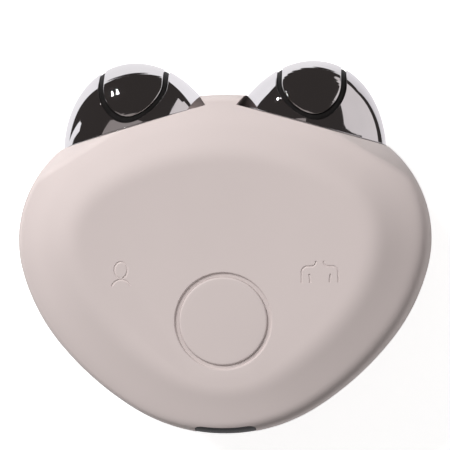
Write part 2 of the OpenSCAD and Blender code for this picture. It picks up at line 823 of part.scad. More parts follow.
module right_dome_core() { dome_core(1); }
module left_dome_seal() { dome_seal(-1); }
module right_dome_seal() { dome_seal(1); }
module left_dome_clip() { dome_clip(-1); }
module right_dome_clip() { dome_clip(1); }
module left_contact_pins() { contact_pins(-1); }
module right_contact_pins() { contact_pins(1); }
module left_electrode_leads() { electrode_leads(-1); }
module right_electrode_leads() { electrode_leads(1); }

front_skin();
rear_skin();
front_shell();
rear_shell();
shell_screws();
button_pad();
button_key();
switch_plunger();
tact_switch();
main_board();
board_screws();
controller_chip();
boost_coil();
buzzer();
face_mode_led();
body_mode_led();
face_light_guide();
body_light_guide();
battery();
battery_pad();
battery_leads();
charge_plate();
charge_contacts();
charge_leads();
left_outer_electrode();
right_outer_electrode();
left_strap_electrode();
right_strap_electrode();
left_dome_core();
right_dome_core();
left_dome_seal();
right_dome_seal();
left_dome_clip();
right_dome_clip();
left_contact_pins();
right_contact_pins();
left_electrode_leads();
right_electrode_leads();
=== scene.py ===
"""Looks of a palm-held facial toning device: a silicone pebble with two chromed domes.

Lengths are in millimetres until a mesh or a place is made, which turns them into metres.
The device lies on its back: +Z leaves its front face and +Y runs towards the domes.
"""
import math

import bmesh
import bpy
import numpy as np
from mathutils import Matrix, Vector

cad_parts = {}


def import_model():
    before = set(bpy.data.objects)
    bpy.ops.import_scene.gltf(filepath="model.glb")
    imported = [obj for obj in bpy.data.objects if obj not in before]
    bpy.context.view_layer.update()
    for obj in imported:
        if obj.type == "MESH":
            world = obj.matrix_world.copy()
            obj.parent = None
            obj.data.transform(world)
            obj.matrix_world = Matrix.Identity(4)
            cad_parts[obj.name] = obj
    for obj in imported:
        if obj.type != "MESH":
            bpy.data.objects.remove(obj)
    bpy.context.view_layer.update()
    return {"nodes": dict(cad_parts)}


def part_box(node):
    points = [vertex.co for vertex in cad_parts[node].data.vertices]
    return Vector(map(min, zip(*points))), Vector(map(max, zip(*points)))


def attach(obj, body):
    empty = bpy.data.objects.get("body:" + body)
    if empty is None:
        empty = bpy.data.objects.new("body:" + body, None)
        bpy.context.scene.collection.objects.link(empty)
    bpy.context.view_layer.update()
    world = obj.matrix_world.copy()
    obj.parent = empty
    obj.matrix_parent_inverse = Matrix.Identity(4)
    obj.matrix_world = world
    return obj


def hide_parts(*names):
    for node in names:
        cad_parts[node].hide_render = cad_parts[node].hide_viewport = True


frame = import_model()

MM = 0.001
# Meshes are made twice as fine as their base step counts
FINE = 2


# ---- Sizes read from the solids ----
def node_box(name):
    """Lowest and highest corner of a CAD node, in millimetres."""
    low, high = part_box(name)
    return np.array(low) / MM, np.array(high) / MM


RIM_Z = node_box("front_skin")[1][2]
PAD_LOW, PAD_HIGH = node_box("button_pad")
BUTTON_R = (PAD_HIGH[0] - PAD_LOW[0]) / 2
BUTTON_Y = (PAD_HIGH[1] + PAD_LOW[1]) / 2
FLOOR_Z = PAD_HIGH[2]
PLATE_LOW, PLATE_HIGH = node_box("charge_plate")
PLATE_Z = (PLATE_LOW[2] + PLATE_HIGH[2]) / 2
PLATE_W = PLATE_HIGH[0] - PLATE_LOW[0]
PLATE_H = PLATE_HIGH[2] - PLATE_LOW[2]
LEFT_ICON = (node_box("face_light_guide")[0] + node_box("face_light_guide")[1]) / 2
RIGHT_ICON = (node_box("body_light_guide")[0] + node_box("body_light_guide")[1]) / 2
CONTACT_LOW, CONTACT_HIGH = node_box("charge_contacts")

# ---- Sizes typed in ----
# The outline, flank, skins, seats, domes, straps and plate repeat the solids' sizes. The
# seam, shading, neck, bead, section of the line, ring groove, button edge and marks are the
# scene's own.

# Outline: radii of the arcs from the bottom end to the cheek, and the headings they end at
ARC_RADII = [34, 60.5, 37.8, 23.4]
ARC_ENDS = [31.9, 50.8, 75, 147]
# How far the parting line rises towards the bottom end, and how deep the dish is
TAIL_LIFT = 6
DISH_DEPTH = 1.3
# Flank: its width on the cheeks, then at the bottom end in front and behind; its fullness
SIDE_FLANK, BOTTOM_FLANK, KEEL_REACH = 8.2, 5, 22
SIDE_FULLNESS, BOTTOM_FULLNESS = 2.9, 2.2
# Heading from which on the flank is all the cheeks'
TAIL_END = 92
# Skins: thickness, and the chamfer along their parting line
SKIN_T, SEAM = 1.2, 0.12

# Shading of the front. Slope outside the rim: its tilt on the cheeks and at the bottom end,
# how far inwards it keeps that, the width it fades over, and the share of both lengths at
# the bottom end
SLOPE_TILT, BOTTOM_SLOPE_TILT = math.radians(24), math.radians(12)
SLOPE_END, SLOPE_FADE, BOTTOM_SLOPE_SHARE = 8.6, 5.6, 0.85
# Faint hollow inside the slope: the tilt it reaches, and how far from its middle
HOLLOW_TILT, HOLLOW_REACH = math.radians(4.5), 20
# Steeper shoulders beyond a line: a point on it and the direction across it, how far before
# it they set in, over what width, and their tilt
SHOULDER, SHOULDER_START, SHOULDER_FADE = (20, 22.7, 0.513, 0.859), 0.4, 1.6
SHOULDER_TILT = math.radians(72)
# Along Y they set in from one place, over a length
SHOULDER_LOW, SHOULDER_RISE = 5, 9
# A face this near to the front's surface belongs to it
ON_SURFACE = 0.03
# Where the surface's own normal rises less than this, it takes over again, over a range
STEEP, STEEP_FADE = 0.47, 0.3

# Domes: radius and height above the seat, and how far below it the ellipsoid's middle lies
DOME_R, DOME_H, DOME_SINK = 15.1, 13.1, 8.6
DOME_TILT = math.radians(15.9)
# Seat: the heading of its outer end, and the silicone's lip beside the dome there
SEAT_HEADING, DOME_LIP = 139.5, 0.6
# Well of a dome's foot: the gap round the foot, and how far the well cuts past the skin
DOME_GAP, FIT_GAP = 0.25, 0.05
# The neck's silicone lies this near to the domes' sides, up to a height above the seat
NECK_HUG, HUG_TOP = 0.07, DOME_H - 2
# Chromed plates: thickness, the skirt's lower end, the edge's radius, the gap at the foot
CHROME_T, SKIRT_Z, EDGE_R, FOOT_GAP = 1, -1.15, 0.16, 0.03
# Bead round a dome's foot: radius, and height of its middle above the seat
BEAD, BEAD_W = 0.13, 0.18
# The line stays above the bead by this angle, in radians
LINE_ABOVE_BEAD = 0.03
# Straps on the domes: half width, reach from the middle, and the edge's radius
STRAP_HALF_W, STRAP_REACH, STRAP_EDGE = 5.9, 14.25, 0.22
# Insulating line round them: its width beside the strap and at its ends, and its section as
# shares of that width with the depths below the dome's surface
LINE_W, LINE_END_W = 1, 0.45
LINE_SECTION = [(0.03, 1.4), (0.03, 0.5), (0.2, 0.34), (0.5, 0.3), (0.8, 0.34), (0.97, 0.5),
                (0.97, 1.4)]

# Charging plate: corner radius, how far its face lies back, the gap round it, and the step
# between its flange and the boss behind
PLATE_CORNER, PLATE_RECESS, PLATE_GAP, PLATE_STEP = 1.6, 0.08, 0.1, 1.2
# Holes for its contacts, with the gap round them
CONTACT_GAP = 0.02
CONTACT_R = (CONTACT_HIGH[2] - CONTACT_LOW[2]) / 2 + CONTACT_GAP
# Ring groove: width, depth, and the radii of its outer lip and of its outer toe
GROOVE_W, GROOVE_DEPTH, RING_LIP, RING_TOE = 0.8, 0.48, 0.34, 0.13
# Button: the gap round it, and the radius of its edge
BUTTON_GAP, PAD_EDGE = 0.03, 0.42
# Pressed marks: width and depth of a stroke, and its section in those units
STROKE_W, STROKE_DEPTH, STROKE_HALF = 0.2, 0.2, 1.45
STROKE_SECTION = [(-STROKE_HALF, 0.004), (-0.8, -0.35), (-0.3, -0.9), (0.3, -0.9), (0.8, -0.35),
                  (STROKE_HALF, 0.004)]
# The right mark stands this far to the left of its light guide
MARK_SHIFT = 0.9
# Beyond the device on all sides
FAR = 60


# ---- Outline and surface of the pebble ----
def outward(heading):
    """Unit vectors away from the middle: heading 0 is the bottom end, 90 the widest point."""
    h = np.radians(heading)
    return np.stack([np.sin(h), -np.cos(h)], -1)


def arc_centres():
    """Centres of the arcs and of the crown between the domes, with all their radii."""
    centres = [np.zeros(2)]
    for i in range(1, len(ARC_RADII)):
        step = ARC_RADII[i - 1] - ARC_RADII[i]
        centres.append(centres[-1] + step * outward(ARC_ENDS[i - 1]))
    tip = centres[-1] + ARC_RADII[-1] * outward(ARC_ENDS[-1])
    crown_r = tip[0] / math.sin(math.radians(ARC_ENDS[-1]))
    crown = np.array([0, tip[1] + crown_r * math.cos(math.radians(ARC_ENDS[-1]))])
    return np.array(centres + [crown]), np.array(ARC_RADII + [crown_r])


CENTRES, RADII = arc_centres()
DOME_C = DOME_H + DOME_SINK
DOME_A = DOME_R / math.sqrt(1 - (DOME_SINK / DOME_C) ** 2)
SEAT_END = CENTRES[3] + ARC_RADII[3] * outward(SEAT_HEADING)
SEAT = SEAT_END + (DOME_LIP + DOME_R) * np.array([-math.cos(DOME_TILT), math.sin(DOME_TILT)])
DOME_RISE = math.hypot(DOME_C * math.cos(DOME_TILT), DOME_A * math.sin(DOME_TILT))
DOME_TOP = SEAT[1] - DOME_SINK * math.cos(DOME_TILT) + DOME_RISE
MIDDLE_Y = (DOME_TOP - ARC_RADII[0]) / 2
BOTTOM_Y = -ARC_RADII[0] - MIDDLE_Y
SEAT_X, SEAT_Y = SEAT[0], SEAT[1] - MIDDLE_Y
MID_Z = RIM_Z / 2
WELL_R = DOME_R + DOME_GAP
BASE_BETA = math.asin(DOME_SINK / DOME_C)
BEAD_BETA = math.asin((DOME_SINK + BEAD_W + BEAD) / DOME_C)


def outline(heading, inset):
    """Points of the outline drawn in by inset, for headings all the way round."""
    heading = np.asarray(heading, float)
    half = np.where(heading <= 180, heading, 360 - heading)
    arc = np.searchsorted(ARC_ENDS, half, side="right")
    p = CENTRES[arc] + (RADII[arc] - inset)[:, None] * outward(half)
    p[:, 0] *= np.where(heading <= 180, 1, -1)
    p[:, 1] -= MIDDLE_Y
    return p


def ease(t):
    """Smooth step from 0 to 1."""
    t = np.clip(t, 0, 1)
    return t * t * (3 - 2 * t)


def between(side, bottom, heading):
    """A value that goes from side, on the cheeks, to bottom, at the bottom end."""
    half = np.minimum(heading, 360 - heading)
    return side + (bottom - side) * (1 - ease(half / TAIL_END))


def neck_wall(w):
    """Where the neck's silicone meets a dome's side, in the seat's frame, w above the seat."""
    share = (np.clip(w, 0, HUG_TOP) + DOME_SINK) / DOME_C
    return -DOME_A * np.sqrt(1 - share**2) - NECK_HUG


def parting_z(heading):
    """Height of the line where the two skins meet."""
    return MID_Z + TAIL_LIFT * ease(-outline(heading, 0)[:, 1] / -BOTTOM_Y)


def half_ring(front, heading, angle, dish, wall):
    """One ring of a half: angle runs up the flank, dish from the rim to the dish's floor."""
    width = between(SIDE_FLANK, BOTTOM_FLANK if front else KEEL_REACH, heading)
    power = 2 / between(SIDE_FULLNESS, BOTTOM_FULLNESS, heading)
    out = 1 - max(math.cos(angle), 0) ** power
    up = max(math.sin(angle), 0) ** power
    part = parting_z(heading)
    p = outline(heading, wall + (width - wall) * out + width * dish)
    if front:
        drop = DISH_DEPTH * (1 - math.cos(math.pi * dish)) / 2
        z = part + (RIM_Z - part - wall) * up - drop
    else:
        z = part - (part - wall) * up
    return np.column_stack([p, z])


def on_outline(p):
    """Heading and distance inwards from the outline, for points x, y inside it."""
    q = np.column_stack([np.abs(p[:, 0]), p[:, 1] + MIDDLE_Y])
    heading, inward = np.full(len(q), 180.0), np.full(len(q), np.inf)
    starts, ends = [0] + ARC_ENDS, ARC_ENDS + [180]
    for centre, radius, start, end in zip(CENTRES, RADII, starts, ends):
        away = q - centre
        h = np.degrees(np.arctan2(away[:, 0], -away[:, 1]))
        inside = (h >= start) & (h <= end) & (radius - np.hypot(*away.T) < inward)
        heading[inside] = h[inside]
        inward[inside] = (radius - np.hypot(*away.T))[inside]
    return np.where(p[:, 0] < 0, 360 - heading, heading), inward


def front_z(p):
    """Height of the front surface above points x, y."""
    heading, inward = on_outline(p)
    width = between(SIDE_FLANK, BOTTOM_FLANK, heading)
    fullness = between(SIDE_FULLNESS, BOTTOM_FULLNESS, heading)
    part = parting_z(heading)
    up = (1 - np.clip(1 - inward / width, 0, 1) ** fullness) ** (1 / fullness)
    dish = np.clip(inward / width - 1, 0, 1)
    return part + (RIM_Z - part) * up - DISH_DEPTH * (1 - np.cos(math.pi * dish)) / 2


def eased_normals(p):
    """Normals of the eased front above points x, y: a slope, steep shoulders, a faint hollow."""
    heading, inward = on_outline(p)
    scale = between(1, BOTTOM_SLOPE_SHARE, heading)
    slope = 1 - ease((inward / scale - SLOPE_END) / SLOPE_FADE)
    x, y, across_x, across_y = SHOULDER
    beyond = (np.abs(p[:, 0]) - x) * across_x + (p[:, 1] - y) * across_y
    shoulder = ease((beyond + SHOULDER_START) / SHOULDER_FADE)
    shoulder *= ease((p[:, 1] - SHOULDER_LOW) / SHOULDER_RISE)
    tilt = between(SLOPE_TILT, BOTTOM_SLOPE_TILT, heading) * slope
    tilt = np.sin(tilt + (SHOULDER_TILT - tilt) * shoulder)
    hollow = (p - [0, BUTTON_Y / 4]) * (HOLLOW_TILT / HOLLOW_REACH)
    level = outward(heading) * tilt[:, None] - hollow * ((1 - slope) * (1 - shoulder))[:, None]
    return np.column_stack([level, np.sqrt(1 - (level**2).sum(1))])


def soft_normals(piece):
    """Gives the outer front its eased normals; the surface itself stays where it is."""
    mesh = piece.data
    corners = np.array([v.co[:] for v in mesh.vertices]) / MM
    middles = np.array([f.center[:] for f in mesh.polygons]) / MM
    facing = np.array([f.normal[2] for f in mesh.polygons])
    outer = (np.abs(front_z(middles[:, :2]) - middles[:, 2]) < ON_SURFACE) & (facing > 0)
    owner = np.repeat(np.arange(len(outer)), [f.loop_total for f in mesh.polygons])
    vertex = np.array([loop.vertex_index for loop in mesh.loops])
    normals = np.array([n.vector[:] for n in mesh.corner_normals])
    keep = ease((STEEP - normals[:, 2]) / STEEP_FADE)[:, None]
    keep = np.where(outer[owner][:, None], keep, 1)
    mixed = normals * keep + eased_normals(corners[vertex][:, :2]) * (1 - keep)
    mixed /= np.linalg.norm(mixed, axis=1)[:, None]
    mesh.normals_split_custom_set([tuple(n) for n in mixed])


# ---- Mesh helpers ----
def new_piece(name, points, faces):
    """A mesh object from points in millimetres, with its normals turned outwards."""
    mesh = bpy.data.meshes.new(name)
    mesh.from_pydata([tuple(p) for p in np.asarray(points, float) * MM], [], faces)
    bm = bmesh.new()
    bm.from_mesh(mesh)
    bmesh.ops.recalc_face_normals(bm, faces=bm.faces)
    bm.to_mesh(mesh)
    bm.free()
    piece = bpy.data.objects.new(name, mesh)
    bpy.context.scene.collection.objects.link(piece)
    return piece


def ring_faces(rings, steps):
    """Quads between closed rings of points, ring after ring."""
    faces = []
    for k in range(rings - 1):
        a, b = k * steps, (k + 1) * steps
        faces += [(a + i, a + (i + 1) % steps, b + (i + 1) % steps, b + i) for i in range(steps)]
    return faces


def flat_cap(ring, steps):
    """One face over a closed ring, given by its number."""
    return [tuple(range(ring * steps, (ring + 1) * steps))]


def strip_cap(ring, steps, tip):
    """Strips across a ring that mirrors about its point number tip."""
    def place(i):
        """Number of the point that lies i steps past the tip."""
        return ring * steps + (tip + i) % steps
    half = steps // 2
    ends = [(place(0), place(1), place(-1)), (place(half - 1), place(half), place(half + 1))]
    return ends + [(place(i), place(i + 1), place(-i - 1), place(-i)) for i in range(1, half - 1)]


def closed_loft(name, rings, caps=None):
    """A solid through closed rings; caps closes its ends with more than flat faces."""
    steps = len(rings[0])
    if caps is None:
        caps = flat_cap(0, steps) + flat_cap(len(rings) - 1, steps)
    return new_piece(name, np.concatenate(rings), ring_faces(len(rings), steps) + caps)


def looped_loft(name, rings):
    """A ring-shaped solid: the last ring joins the first."""
    steps = len(rings[0])
    points = np.concatenate(rings)
    faces = [tuple(v % len(points) for v in face) for face in ring_faces(len(rings) + 1, steps)]
    return new_piece(name, points, faces)


def extruded(name, outline_points, to_world):
    """A prism over a closed outline, from -FAR to FAR along the third axis of to_world."""
    rings = [np.array([to_world(x, y, z) for x, y in outline_points]) for z in (-FAR, FAR)]
    return closed_loft(name, rings)


def lathe(name, profile, steps, to_world):
    """A solid turned about the third axis of to_world; profile holds (radius, height) pairs."""
    turns = np.linspace(0, 2 * math.pi, steps, endpoint=False)
    rings = [np.array([to_world(r * math.cos(t), r * math.sin(t), z) for t in turns])
             for r, z in profile]
    return closed_loft(name, rings)


def evaluated(piece):
    """Replaces the piece's mesh by what its modifiers make of it."""
    graph = bpy.context.evaluated_depsgraph_get()
    mesh = bpy.data.meshes.new_from_object(piece.evaluated_get(graph))
    piece.modifiers.clear()
    piece.data = mesh


def combine(piece, other, operation="DIFFERENCE"):
    """Cuts other from piece, or joins or intersects the two, and removes other."""
    step = piece.modifiers.new("combine", "BOOLEAN")
    step.operation = operation
    step.object = other
    step.solver = "MANIFOLD"
    evaluated(piece)
    bpy.data.objects.remove(other)
    return piece


def shade(piece, crease=32):
    """Smooth shading that keeps creases and the flatness of large faces."""
    mesh = piece.data
    mesh.shade_smooth()
    mesh.set_sharp_from_angle(angle=math.radians(crease))
    step = piece.modifiers.new("normals", "WEIGHTED_NORMAL")
    step.keep_sharp = True
    evaluated(piece)


def arc(cx, cy, r, start, end, steps):
    """Points of an arc, with its angles in degrees."""
    turns = np.radians(np.linspace(start, end, steps + 1))
    return [(cx + r * math.cos(t), cy + r * math.sin(t)) for t in turns]


# ---- Frames of the pieces ----
def upright(x0, y0):
    """Frame that stands at x0, y0 with its third axis along +Z."""
    return lambda x, y, z: (x0 + x, y0 + y, z)


def seat_frame(side):
    """Frame of a dome's seat: outward along the shoulder, along the dome's axis, and +Z."""
    c, s = math.cos(DOME_TILT), math.sin(DOME_TILT)
    return lambda u, w, z: (side * (SEAT_X + u * c + w * s), SEAT_Y - u * s + w * c, MID_Z + z)


def dome_frame(side):
    """Frame whose third axis is a dome's axis."""
    seat = seat_frame(side)
    return lambda x, y, w: seat(x, w, y)


def from_seat(side, points):
    """Points in a seat's frame, as places on the device."""
    return np.column_stack(seat_frame(side)(*np.asarray(points).T))


# ---- Silicone skins ----
def headings(coarse, fine):
    """Headings all round, in steps of coarse degrees, and of fine degrees at the neck."""
    neck = 160  # heading at which the neck begins
    return np.concatenate([np.arange(0, neck, coarse), np.arange(neck, 360 - neck, fine),
                           np.arange(360 - neck, 360, coarse)])


def pebble(name, front, wall, past, heading, flank_rings, dish_rings):
    """Half of the pebble, drawn in by wall, its open face moved past the parting line."""
    sign = 1 if front else -1
    part = parting_z(heading)
    seam = 0 if wall else SEAM
    edge = np.column_stack([outline(heading, wall + seam), part - sign * past])
    lip = np.column_stack([outline(heading, wall), part + sign * seam])
    rings = [edge, lip] if seam or past else [edge]
    for k in range(1, flank_rings + 1):
        rings.append(half_ring(front, heading, math.pi / 2 * k / flank_rings, 0, wall))
    for k in range(1, (dish_rings if front else 0) + 1):
        rings.append(half_ring(front, heading, math.pi / 2, k / dish_rings, wall))
    caps = strip_cap(0, len(heading), 0) + flat_cap(len(rings) - 1, len(heading))
    return closed_loft(name, rings, caps)


def shoulder_cutter(side, wall=0):
    """What lies above a seat and beside the neck, grown by wall."""
    w = np.linspace(0, HUG_TOP, 20 * FINE)
    neck = list(zip(neck_wall(w) - wall, w))
    below = [(neck[0][0], -wall)] if wall else []
    shape = [(FAR, -wall)] + below + neck + [(neck[-1][0], FAR), (FAR, FAR)]
    return extruded("cut", shape, seat_frame(side))


def well_cutter(side):
    """The round well that holds a dome's foot, cut through the skin."""
    profile = [(WELL_R, -SKIN_T - FIT_GAP), (WELL_R, FIT_GAP)]
    return lathe("cut", profile, 96 * FINE, dome_frame(side))


def plate_cutter(grow, deep=ARC_RADII[0]):
    """A prism with the charging plate's rounded outline, grown by a margin."""
    r = PLATE_CORNER + grow
    x, z = PLATE_W / 2 + grow - r, PLATE_H / 2 + grow - r
    shape = []
    for i, (cx, cz) in enumerate(((x, z), (-x, z), (-x, -z), (x, -z))):
        shape += arc(cx, cz, r, 90 * i, 90 * (i + 1), 6 * FINE)
    rings = [np.array([(a, BOTTOM_Y + y, PLATE_Z + b) for a, b in shape]) for y in (-1, deep)]
    return closed_loft("cut", rings)


def ring_cutter():
    """The button's hole and the ring groove round it, with a rounded outer lip."""
    hole, rim, floor = BUTTON_R + BUTTON_GAP, BUTTON_R + GROOVE_W, FLOOR_Z - GROOVE_DEPTH
    profile = [(hole, FLOOR_Z - 2 * SKIN_T), (hole, floor)]
    profile += arc(rim - RING_TOE, floor + RING_TOE, RING_TOE, 270, 360, 4)
    profile += arc(rim + RING_LIP, FLOOR_Z - RING_LIP, RING_LIP, 180, 98, 6)
    profile += [(rim + RING_LIP, FLOOR_Z + 1)]
    return lathe("cut", profile, 128 * FINE, upright(0, BUTTON_Y))


# ---- Marks pressed into the dish ----
def stroke_cutter(path):
    """A shallow rounded channel along a flat path of (x, y) points on the dish's floor."""
    path = np.array(path, float)
    ahead = np.gradient(path, axis=0)
    ahead /= np.linalg.norm(ahead, axis=1)[:, None]
    across = np.column_stack([ahead[:, 1], -ahead[:, 0]])
    section = [(STROKE_W * a, FLOOR_Z + STROKE_DEPTH * d) for a, d in STROKE_SECTION]
    section += [(k * STROKE_HALF * STROKE_W, FLOOR_Z + 1) for k in (1, -1)]
    rings = [np.array([(*(p + s * n), z) for s, z in section]) for p, n in zip(path, across)]
    return closed_loft("cut", rings)


def face_mark(x, y):
    """A plain oval head, open at its chin, above a rounded collar."""
    turns = np.linspace(-1.3, 4.44, 40)
    head = [(x + 1.25 * math.cos(t), y + 0.75 + 1.6 * math.sin(t)) for t in turns]
    collar = arc(x, y - 3, 1.9, 20, 160, 16)
    return [head, collar]


def body_mark(x, y):
    """A plain neckline over two square shoulders with arms."""
    left = [(x - 0.75, y + 2.1)] + arc(x - 1.6, y + 1.9, 0.85, 0, -90, 6)
    left += arc(x - 2.4, y - 0.1, 1.15, 90, 180, 6) + [(x - 3.6, y - 2.1)]
    right = [(2 * x - a, b) for a, b in left]
    waist = [[(x + k * 2.1, y - 0.4), (x + k * 1.95, y - 1.2), (x + k * 1.9, y - 2.1)]
             for k in (-1, 1)]
    return [left, right] + waist


def skin(name, front):
    """One silicone half with its openings."""
    piece = pebble(name, front, 0, 0, headings(2 / FINE, 0.5 / FINE), 24 * FINE, 12 * FINE)
    inside = pebble("cut", front, SKIN_T, 1, headings(4, 4), 10, 6)
    for side in (-1, 1):
        combine(inside, shoulder_cutter(side, SKIN_T))
    combine(piece, inside)
    for side in (-1, 1):
        combine(piece, shoulder_cutter(side))
        combine(piece, well_cutter(side))
    combine(piece, plate_cutter(PLATE_GAP))
    if front:
        combine(piece, ring_cutter())
        marks = face_mark(*LEFT_ICON[:2])
        marks += body_mark(RIGHT_ICON[0] - MARK_SHIFT, RIGHT_ICON[1])
        for path in marks:
            combine(piece, stroke_cutter(path))
    shade(piece)
    if front:
        soft_normals(piece)
    return piece


def button_pad():
    """The push button's silicone top, with its rounded edge."""
    middle = 0.01
    profile = [(middle, PAD_LOW[2]), (BUTTON_R, PAD_LOW[2])]
    profile += arc(BUTTON_R - PAD_EDGE, FLOOR_Z - PAD_EDGE, PAD_EDGE, 0, 90, 8)
    profile += [(BUTTON_R - 3 * PAD_EDGE, FLOOR_Z), (middle, FLOOR_Z)]
    piece = lathe("button_pad_silicone", profile, 128 * FINE, upright(0, BUTTON_Y))
    shade(piece)
    return piece


# ---- Chromed domes ----
def dome_point(azimuth, beta):
    """Points of the dome in its seat's frame, and its outward normals there."""
    ca, sa = np.cos(azimuth), np.sin(azimuth)
    r, w = DOME_A * np.cos(beta), DOME_C * np.sin(beta)
    n = np.column_stack([r * ca / DOME_A**2, w / DOME_C**2, r * sa / DOME_A**2])
    n /= np.linalg.norm(n, axis=1)[:, None]
    return np.column_stack([r * ca, w - DOME_SINK, r * sa]), n


def on_dome(x, z):
    """Azimuth and beta of the dome's points above (x, z), seen along the device."""
    c, s = math.cos(DOME_TILT), math.sin(DOME_TILT)
    k2 = s * s / DOME_A**2 + c * c / DOME_C**2
    k1 = x * c * s * (1 / DOME_C**2 - 1 / DOME_A**2) + DOME_SINK * c / DOME_C**2
    k0 = (x * c / DOME_A) ** 2 + ((x * s + DOME_SINK) / DOME_C) ** 2 + (z / DOME_A) ** 2 - 1
    y = (-k1 + np.sqrt(np.maximum(k1 * k1 - k2 * k0, 0))) / k2
    u, w = x * c - y * s, x * s + y * c + DOME_SINK
    return np.arctan2(z, u), np.arctan2(w / DOME_C, np.hypot(u, z) / DOME_A)


STADIUM_SIDE, STADIUM_TURN = 20 * FINE, 24 * FINE


def stadium(half_w, reach):
    """Points round a strap's outline: across and along, counter-clockwise from one side."""
    straight = reach - half_w
    side = np.linspace(-straight, straight, STADIUM_SIDE, endpoint=False)
    turn = np.linspace(0, math.pi, STADIUM_TURN, endpoint=False)
    x = np.concatenate([np.full_like(side, half_w), half_w * np.cos(turn),
                        np.full_like(side, -half_w), -half_w * np.cos(turn)])
    bow = half_w * np.sin(turn)
    z = np.concatenate([side, straight + bow, -side, -straight - bow])
    return x, z


def shifted(azimuth, beta, depth):
    """A ring of the dome's points, sunk below its surface by depth."""
    p, n = dome_point(azimuth, beta)
    return p - n * np.reshape(depth, (-1, 1))


def outer_electrode(side):
    """The chromed dome beside the strap, down to its skirt inside the silicone."""
    azimuth, groove = on_dome(*stadium(STRAP_HALF_W + LINE_W, STRAP_REACH + LINE_END_W))
    groove = np.maximum(groove, BEAD_BETA + LINE_ABOVE_BEAD)
    rings = [shifted(azimuth, groove, CHROME_T)]
    for g in np.linspace(0, math.pi / 2, 6):
        step = EDGE_R * (1 - math.cos(g)) / DOME_A
        rings.append(shifted(azimuth, groove - step, EDGE_R * (1 - math.sin(g))))
    start = groove - EDGE_R / DOME_A
    for t in np.linspace(0, 1, 28 * FINE)[1:]:
        rings.append(shifted(azimuth, start + (BEAD_BETA - start) * t, 0))
    foot = DOME_R - FOOT_GAP
    skirt = [(foot, SKIRT_Z), (foot - CHROME_T, SKIRT_Z)]
    for r, w in arc(foot, BEAD_W, BEAD, 90, -90, 8) + skirt:
        level = np.full_like(azimuth, w)
        rings.append(np.column_stack([r * np.cos(azimuth), level, r * np.sin(azimuth)]))
    for t in np.linspace(0, 1, 10)[:-1]:
        rings.append(shifted(azimuth, BASE_BETA + (groove - BASE_BETA) * t, CHROME_T))
    return looped_loft(f"{side_name(side)}_outer_chrome", [from_seat(side, r) for r in rings])


def strap_electrode(side):
    """The chromed tongue over the dome, with a rounded edge."""
    end_share = LINE_END_W / LINE_W
    rings = []
    for t in np.linspace(0.06, 1, 16 * FINE):
        half_w = (STRAP_HALF_W - STRAP_EDGE) * t
        reach = half_w + (STRAP_REACH - STRAP_EDGE * end_share - (STRAP_HALF_W - STRAP_EDGE))
        rings.append(shifted(*on_dome(*stadium(half_w, reach)), 0))
    for g in np.linspace(0, math.pi / 2, 8)[1:]:
        inset = STRAP_EDGE * (1 - math.sin(g))
        place = on_dome(*stadium(STRAP_HALF_W - inset, STRAP_REACH - inset * end_share))
        rings.append(shifted(*place, STRAP_EDGE * (1 - math.cos(g))))
    for t in np.linspace(1, 0.06, 6):
        half_w = STRAP_HALF_W * t
        place = on_dome(*stadium(half_w, half_w + STRAP_REACH - STRAP_HALF_W))
        rings.append(shifted(*place, CHROME_T))
    steps, tip = 2 * (STADIUM_SIDE + STADIUM_TURN), STADIUM_SIDE + STADIUM_TURN // 2
    caps = strip_cap(0, steps, tip) + strip_cap(len(rings) - 1, steps, tip)
    rings = [from_seat(side, ring) for ring in rings]
    return closed_loft(f"{side_name(side)}_strap_chrome", rings, caps)


def line_rib(side):
    """The black insulating line between the two electrodes, as a solid ring."""
    rings = []
    for share, depth in LINE_SECTION:
        place = on_dome(*stadium(STRAP_HALF_W + share * LINE_W, STRAP_REACH + share * LINE_END_W))
        rings.append(shifted(*place, depth))
    return looped_loft("rib", [from_seat(side, r) for r in rings])


def dome_core(side):
    """The CAD core with a finely made insulating line."""
    name = f"{side_name(side)}_dome_core"
    mesh = frame["nodes"][name].data.copy()
    piece = bpy.data.objects.new(f"{name}_moulded", mesh)
    bpy.context.scene.collection.objects.link(piece)
    bm = bmesh.new()
    bm.from_mesh(mesh)
    bmesh.ops.remove_doubles(bm, verts=bm.verts, dist=1e-7)
    bm.to_mesh(mesh)
    bm.free()
    combine(piece, line_rib(side), "UNION")
    return piece


def side_name(side):
    """The word that begins the names of a side's pieces."""
    return "right" if side > 0 else "left"


def contact_hole(x):
    """A round prism through the charging plate, at a contact's place along X."""
    turns = np.linspace(0, 2 * math.pi, 32, endpoint=False)
    rings = [np.array([(x + CONTACT_R * math.cos(t), y, PLATE_Z + CONTACT_R * math.sin(t))
                       for t in turns])
             for y in (BOTTOM_Y - 1, BOTTOM_Y + 4)]
    return closed_loft("cut", rings)


def charge_plate():
    """The black plate at the bottom end, its face flush with the silicone."""
    piece = plate_cutter(0, PLATE_HIGH[1] - BOTTOM_Y)
    piece.name = "charge_plate_black"
    face = pebble("cut", True, PLATE_RECESS, PLATE_H, headings(2, 2), 24, 6)
    combine(piece, face, "INTERSECT")
    inside = pebble("cut", True, SKIN_T, PLATE_H, headings(2, 2), 24, 6)
    combine(inside, plate_cutter(-PLATE_STEP))
    combine(piece, inside)
    for x in contact_places():
        combine(piece, contact_hole(x))
    shade(piece)
    return piece


def contact_places():
    """Where the two charging contacts stand, along X."""
    return CONTACT_LOW[0] + CONTACT_R, CONTACT_HIGH[0] - CONTACT_R


# ---- Materials ----
SILICONE = (0.604, 0.527, 0.515)
# Plating of the straps: the pitch of its turned rings, and the pitch of a wave of scale 1
RING_PITCH, WAVE_PITCH = 0.5, 0.314


